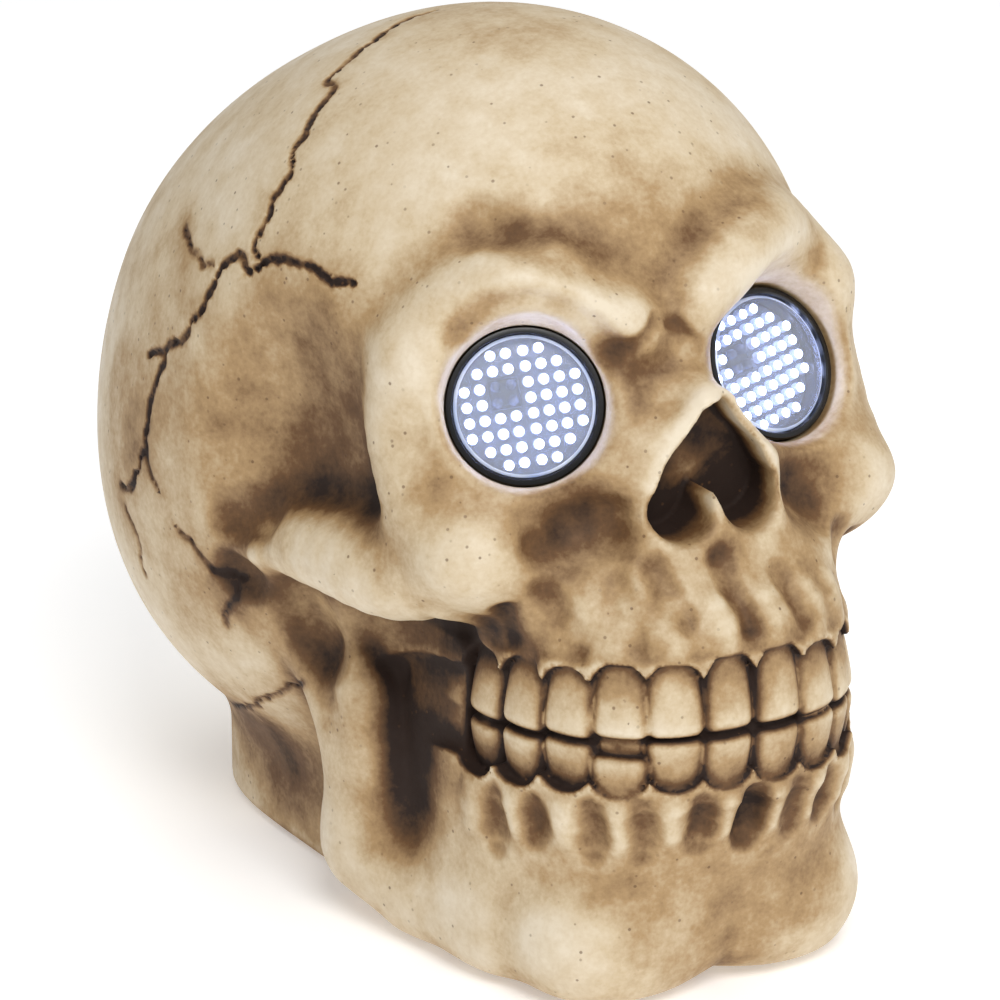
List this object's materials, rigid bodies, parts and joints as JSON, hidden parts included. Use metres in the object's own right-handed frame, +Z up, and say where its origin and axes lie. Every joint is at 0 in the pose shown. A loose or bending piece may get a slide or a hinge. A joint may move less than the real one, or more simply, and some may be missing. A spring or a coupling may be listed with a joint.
{
  "type": "halloween skull decoration",
  "caption": "Life-size cast skull with a grinning fixed jaw and round LED lamps in its eye sockets, fed by a battery base in the neck.",
  "frame": {"origin": "on the floor under the middle of the whole part's box", "axes": "+Z up, the face looks along -Y, the skull's own right side is -X"},
  "size_m": [0.1654, 0.253, 0.2216],
  "materials": {
    "cast_resin": "cast polyresin, ivory paint with a dark brown wash in the recesses",
    "black_plastic": "moulded, satin",
    "clear_lens": "clear moulded acrylic, polished",
    "circuit_board": "glass-epoxy board with solder mask",
    "lit_diode": "epoxy dome, lit",
    "dark_diode": "epoxy dome, unlit",
    "base_plastic": "moulded, fine texture",
    "pad_rubber": "moulded rubber",
    "zinc_steel": "zinc plated",
    "contact_steel": "nickel plated spring steel",
    "cell_wrap": "shrink sleeve on a steel can",
    "wire_sleeve": "extruded vinyl sleeve"
  },
  "bodies": {
    "skull": {"skull_shell": "cast_resin", "base_plate": "base_plastic", "base_screw_1": "zinc_steel", "base_screw_2": "zinc_steel", "base_screw_3": "zinc_steel", "base_screw_4": "zinc_steel", "foot_pad_1": "pad_rubber", "foot_pad_2": "pad_rubber", "foot_pad_3": "pad_rubber", "foot_pad_4": "pad_rubber", "battery_cell_1": "cell_wrap", "battery_cell_2": "cell_wrap", "battery_cell_3": "cell_wrap", "contact_front_pair": "contact_steel", "contact_front_single": "contact_steel", "contact_rear_pair": "contact_steel", "contact_rear_single": "contact_steel", "driver_board": "circuit_board", "driver_chip": "black_plastic", "board_screw_1": "zinc_steel", "board_screw_2": "zinc_steel", "switch_body": "black_plastic", "lamp_housing_right": "black_plastic", "lens_right": "clear_lens", "led_board_right": "circuit_board", "leds_lit_right": "lit_diode", "leds_unlit_right": "dark_diode", "eye_lead_right": "wire_sleeve", "lamp_housing_left": "black_plastic", "lens_left": "clear_lens", "led_board_left": "circuit_board", "leds_lit_left": "lit_diode", "leds_unlit_left": "dark_diode", "eye_lead_left": "wire_sleeve", "battery_lead_front": "wire_sleeve", "battery_lead_rear": "wire_sleeve", "switch_lead": "wire_sleeve"},
    "door": {"battery_door": "base_plastic", "door_screw": "zinc_steel"},
    "switch_knob": {"switch_slider": "black_plastic"}
  },
  "joints": [
    {"name": "battery_door_hinge", "type": "hinge", "parent": "skull", "child": "door", "pos_m": [0, 0.06181, 0.00325], "axis": [1, 0, 0], "range_deg": [0, 60]},
    {"name": "switch_slide", "type": "slide", "parent": "skull", "child": "switch_knob", "axis": [1, 0, 0], "range_m": [-0.004, 0]}
  ]
}
